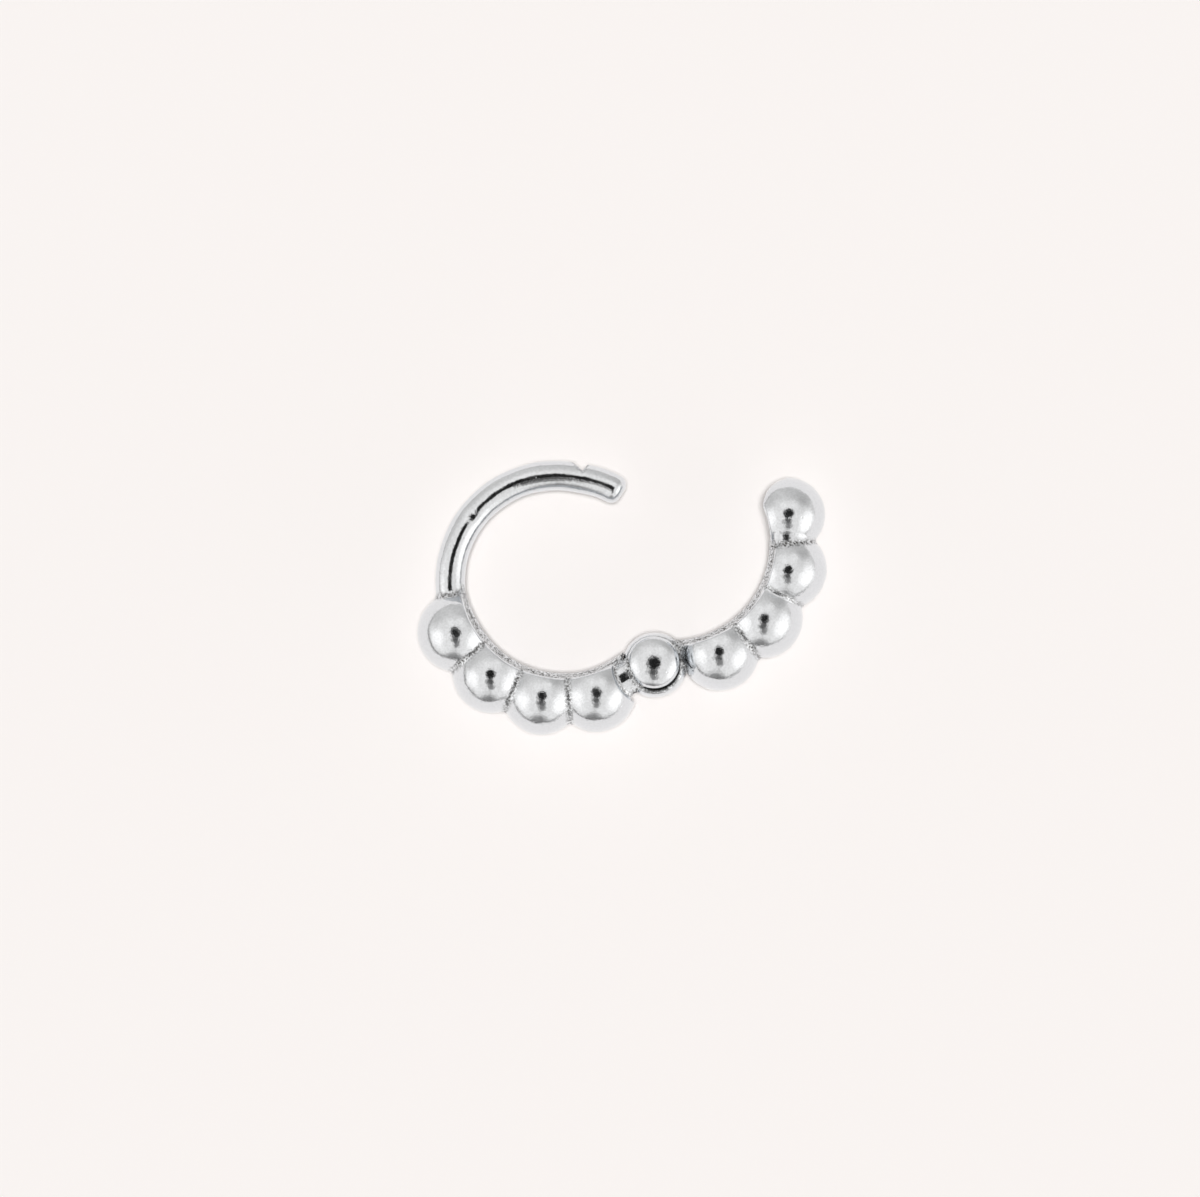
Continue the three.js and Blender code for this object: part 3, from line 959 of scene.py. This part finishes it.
# %% Sterling silver
def sterling_silver(name, wear):
    material = bpy.data.materials.new(name)
    material.use_nodes = True
    tree = material.node_tree
    tree.nodes.clear()
    place = add(tree, "TexCoord").outputs["Object"]
    groove = add(tree, "Attribute", {"attribute_name": "groove"}).outputs["Fac"]
    grain = add(tree, "TexNoise", Vector=place, Scale=per_mm(GRAIN_SIZE), Detail=3.0).outputs["Fac"]
    patches = add(tree, "TexNoise", Vector=place, Scale=per_mm(WEAR_PATCH_SIZE), Detail=3.0)

    # Tarnish, and painted shade under the hinge cap and over the inner face
    grime_and_shade = tarnish_and_shade(tree, groove, grain)
    colour = add(
        tree, "Mix", {"data_type": "RGBA"}, i0=grime_and_shade, i6=linear(POLISHED), i7=linear(TARNISH_AND_SHADE)
    ).outputs[2]
    rough = add(
        tree,
        "MapRange",
        Value=patches.outputs["Fac"],
        **{"From Min": 0.3, "From Max": 0.7, "To Min": wear - 0.02, "To Max": wear + 0.05},
    ).outputs["Result"]
    rough = add(
        tree, "Math", {"operation": "MULTIPLY_ADD"}, i0=grime_and_shade, i1=TARNISH_AND_SHADE_ROUGHNESS, i2=rough
    ).outputs[0]
    relief = cast_relief(tree, place, groove, grain)
    shader = add(
        tree,
        "BsdfPrincipled",
        **{"Base Color": colour, "Metallic": 1.0, "Roughness": rough, "Normal": relief},
    )
    add(tree, "OutputMaterial", Surface=shader.outputs[0])
    return material


cast_silver = sterling_silver("polished_sterling_silver", wear=0.1)
pin_silver = sterling_silver("drawn_silver_wire", wear=0.24)
for piece in (fixed_half, swinging_arm):
    piece.data.materials.append(cast_silver)
pin.data.materials.append(pin_silver)
print("finishes:", cast_silver.name, "and", pin_silver.name)

# %% [markdown]
# The hoop lies on a plain pale table. A table could be a whole sweep of paper, but the hoop is tiny and
# seen from above, so a flat square does. It is matt, so it shows no reflection, only a faint soft shadow.

# %% Table
TABLE_COLOUR = "#FAF5F2"
TABLE_SIZE = 2.0


def matt_table():
    material = bpy.data.materials.new("matt_pale_table")
    material.use_nodes = True
    shader = material.node_tree.nodes["Principled BSDF"]
    shader.inputs["Base Color"].default_value = linear(TABLE_COLOUR)
    shader.inputs["Roughness"].default_value = 0.9
    shader.inputs["Specular IOR Level"].default_value = 0.0
    return material


half = TABLE_SIZE / 2
corners = [(-half, -half, 0), (half, -half, 0), (half, half, 0), (-half, half, 0)]
table_mesh = bpy.data.meshes.new("table")
table_mesh.from_pydata(corners, [], [(0, 1, 2, 3)])
table = bpy.data.objects.new("table", table_mesh)
bpy.context.scene.collection.objects.link(table)
table.data.materials.append(matt_table())
print("table:", TABLE_SIZE, "m across")

# %% [markdown]
# The camera looks down on the hoop, a few degrees off the vertical. A long lens keeps the beads round. Its
# frame is 50 mm wide at the hoop, because the picture is 1200 pixels wide at 24 pixels to the millimetre,
# and it is aimed so that the ring's centre falls on the pixel where the photograph has it.

# %% Camera
PIXELS_PER_MM = 24.0
FRAME_WIDE, FRAME_HIGH = 1200, 1197
RING_CENTRE_PIXEL = (563.1, 577.3)
TILT = 2.5
TILT_TOWARDS = -45.0
LENS, SENSOR = 135.0, 36.0
CLIP_START, CLIP_END = 0.01, 10.0

aim = np.array(
    (
        (FRAME_WIDE / 2 - RING_CENTRE_PIXEL[0]) / PIXELS_PER_MM,
        (RING_CENTRE_PIXEL[1] - FRAME_HIGH / 2) / PIXELS_PER_MM,
        0.0,
    )
)
back = Vector((*polar(TILT_TOWARDS, math.sin(math.radians(TILT))), math.cos(math.radians(TILT))))
right = Vector((0, 1, 0)).cross(back).normalized()
up = back.cross(right)
look = Matrix((right, up, back)).transposed().to_4x4()
distance = FRAME_WIDE / PIXELS_PER_MM * LENS / SENSOR
camera_data = bpy.data.cameras.new("camera")
camera_data.lens = LENS
camera_data.sensor_width = SENSOR
camera_data.clip_start = CLIP_START
camera_data.clip_end = CLIP_END
camera = bpy.data.objects.new("camera", camera_data)
bpy.context.scene.collection.objects.link(camera)
bpy.context.scene.camera = camera
camera.matrix_world = Matrix.Translation(Vector((ring_origin + aim) * MM) + back * distance * MM) @ look
print("camera:", round(distance), "mm away,", TILT, "degrees off the vertical")

# %% [markdown]
# A mirror shows the room that it is in, so the studio matters more than the metal. This one is a light
# tent: pale cloth all round, two big soft panels low on the left and the right, darker cloth where the
# panels end, and the dark lens looking in through the top. It could be built from lamps and cards, but on
# the world it is drawn by direction: each row says where a soft patch lies, as seen from the hoop, how far
# it reaches, and how bright it is. Later rows lie over earlier ones.

# %% The tent's patches
CLOTH = 0.78
TENT = [
    {"towards": 205, "off_axis": 50, "inner": 24, "outer": 52, "level": 0.93},
    {"towards": 325, "off_axis": 54, "inner": 26, "outer": 54, "level": 0.93},
    {"towards": 95, "off_axis": 28, "inner": 8, "outer": 38, "level": 0.94},
    {"towards": 92, "off_axis": 74, "inner": 6, "outer": 44, "level": 0.66},
    {"towards": 52, "off_axis": 72, "inner": 2, "outer": 32, "level": 0.54},
    {"towards": 142, "off_axis": 76, "inner": 2, "outer": 28, "level": 0.66},
    {"towards": 264, "off_axis": 82, "inner": 4, "outer": 24, "level": 0.3},
    {"towards": 195, "off_axis": 60, "inner": 4, "outer": 28, "level": 1.25},
    {"towards": 338, "off_axis": 64, "inner": 4, "outer": 34, "level": 1.35},
    {"towards": 150, "off_axis": 1, "inner": 13, "outer": 17, "level": 0.01},
    {"towards": 242, "off_axis": 24, "inner": 3, "outer": 11, "level": 0.4},
    {"towards": 266, "off_axis": 22, "inner": 7, "outer": 11, "level": 0.09},
    {"towards": 269, "off_axis": 36, "inner": 4, "outer": 13, "level": 0.24},
]


def direction(towards, off_axis):
    """A direction given by its turn in the picture and its angle from the camera's own direction."""
    sideways = polar(towards, math.sin(math.radians(off_axis)))
    local = Vector((*sideways, math.cos(math.radians(off_axis))))
    return (look.to_3x3() @ local).normalized()


world = bpy.data.worlds.new("light_tent")
bpy.context.scene.world = world
world.use_nodes = True
tree = world.node_tree
tree.nodes.clear()
facing = add(tree, "TexCoord").outputs["Generated"]
facing = add(tree, "VectorMath", {"operation": "NORMALIZE"}, i0=facing).outputs[0]
level = add(tree, "Value").outputs[0]
level.default_value = CLOTH
dot = {"operation": "DOT_PRODUCT"}
smooth = {"interpolation_type": "SMOOTHSTEP"}
plain = {"data_type": "FLOAT"}
for patch in TENT:
    towards = direction(patch["towards"], patch["off_axis"])
    near = add(tree, "VectorMath", dot, i0=facing, i1=towards).outputs["Value"]
    edge = {
        "From Min": math.cos(math.radians(patch["outer"])),
        "From Max": math.cos(math.radians(patch["inner"])),
    }
    share = add(tree, "MapRange", smooth, Value=near, **edge).outputs["Result"]
    level = add(tree, "Mix", plain, i0=share, i2=level, i3=patch["level"]).outputs[0]
print("light tent:", len(TENT), "patches")

# %% [markdown]
# Two dark lines finish what the beads mirror. One is the seam where the cloth meets the table, darkest at
# the lower left: every bead shows it near its rim. The other is one thin leg of the camera stand, from the
# lens down to the table, which gives each dark spot its grey tail.

# %% The seam and the stand
SEAM = {"towards": 232, "level": 0.1, "height": 0.14}
STAND_LEG = {"towards": 266, "level": 0.12, "width": 0.03, "middle": 60}

height = add(tree, "SeparateXYZ", Vector=facing).outputs["Z"]
low_down = {"From Min": SEAM["height"], "From Max": 0.01}
seam = add(tree, "MapRange", smooth, Value=height, **low_down).outputs["Result"]
side = add(tree, "VectorMath", dot, i0=facing, i1=direction(SEAM["towards"], 90)).outputs["Value"]
side = add(tree, "MapRange", Value=side, **{"From Min": -0.6, "From Max": 0.8, "To Min": 0.05}).outputs[0]
seam = add(tree, "Math", {"operation": "MULTIPLY"}, i0=seam, i1=side).outputs[0]
level = add(tree, "Mix", plain, i0=seam, i2=level, i3=SEAM["level"]).outputs[0]

across = direction(STAND_LEG["towards"] + 90, 90)
leg = add(tree, "VectorMath", dot, i0=facing, i1=across).outputs["Value"]
leg = add(tree, "Math", {"operation": "ABSOLUTE"}, i0=leg).outputs[0]
leg = add(tree, "MapRange", Value=leg, **{"From Min": STAND_LEG["width"], "From Max": 0.005}).outputs[0]
along = direction(STAND_LEG["towards"], STAND_LEG["middle"])
along = add(tree, "VectorMath", dot, i0=facing, i1=along).outputs["Value"]
along = add(tree, "MapRange", Value=along, **{"From Min": 0.82, "From Max": 0.9, "To Max": 0.5}).outputs[0]
leg = add(tree, "Math", {"operation": "MULTIPLY"}, i0=leg, i1=along).outputs[0]
level = add(tree, "Mix", plain, i0=leg, i2=level, i3=STAND_LEG["level"]).outputs[0]
print("seam towards", SEAM["towards"], "degrees, stand leg towards", STAND_LEG["towards"])

# %% [markdown]
# Cloth hangs in faint folds, so a slow noise varies its light a little. The tent would light the table too,
# with a heavy shadow, so only a share of its light falls there, and the lamp below gives the rest. The
# camera itself sees the table's own colour where the table ends. The cloth's tone is a hair warm, and its
# numbers are linear light.

# %% Cloth, table and backdrop
FOLDS_SCALE = 2.2
FOLDS = {"From Min": 0.3, "From Max": 0.7, "To Min": 0.88, "To Max": 1.08}
TENT_ON_TABLE = 0.25
TENT_TONE = (1.03, 0.995, 0.965, 1.0)

folds = add(tree, "TexNoise", Vector=facing, Scale=FOLDS_SCALE, Detail=3.0).outputs["Fac"]
folds = add(tree, "MapRange", Value=folds, **FOLDS).outputs[0]
level = add(tree, "Math", {"operation": "MULTIPLY"}, i0=level, i1=folds).outputs[0]
ray = add(tree, "LightPath").outputs
softened = {"To Min": 1.0, "To Max": TENT_ON_TABLE}
softened = add(tree, "MapRange", Value=ray["Is Diffuse Ray"], **softened).outputs[0]
level = add(tree, "Math", {"operation": "MULTIPLY"}, i0=level, i1=softened).outputs[0]
tent = add(tree, "Background", Color=TENT_TONE, Strength=level).outputs[0]
page = add(tree, "Background", Color=linear(TABLE_COLOUR), Strength=1.0).outputs[0]
mixed = add(tree, "MixShader", i0=ray["Is Camera Ray"], i1=tent, i2=page).outputs[0]
add(tree, "OutputWorld", Surface=mixed)
print("light tent drawn with", len(tree.nodes), "nodes")

# %% [markdown]
# One broad lamp fills the table so that it stays pale. An area lamp would fall off towards the picture's
# corners, so it is a sun lamp. It shines along the camera's own direction, so that most of its shadow hides
# under the hoop, and it is a little cool, to balance the warm cloth. It is hidden from reflections: in the
# silver only the tent shows.

# %% Table lamp
LAMP_STRENGTH = 0.775 * math.pi
LAMP_SPREAD = 10
DAYLIGHT = (0.975, 0.987, 1.0)
lamp_data = bpy.data.lights.new("table_lamp", "SUN")
lamp_data.energy = LAMP_STRENGTH
lamp_data.color = DAYLIGHT
lamp_data.angle = math.radians(LAMP_SPREAD)
lamp = bpy.data.objects.new("table_lamp", lamp_data)
bpy.context.scene.collection.objects.link(lamp)
lamp.rotation_euler = look.to_euler()
lamp.visible_glossy = False
bpy.context.scene.view_settings.view_transform = "Standard"
print("table lamp:", round(LAMP_STRENGTH, 2), "watts per square metre")
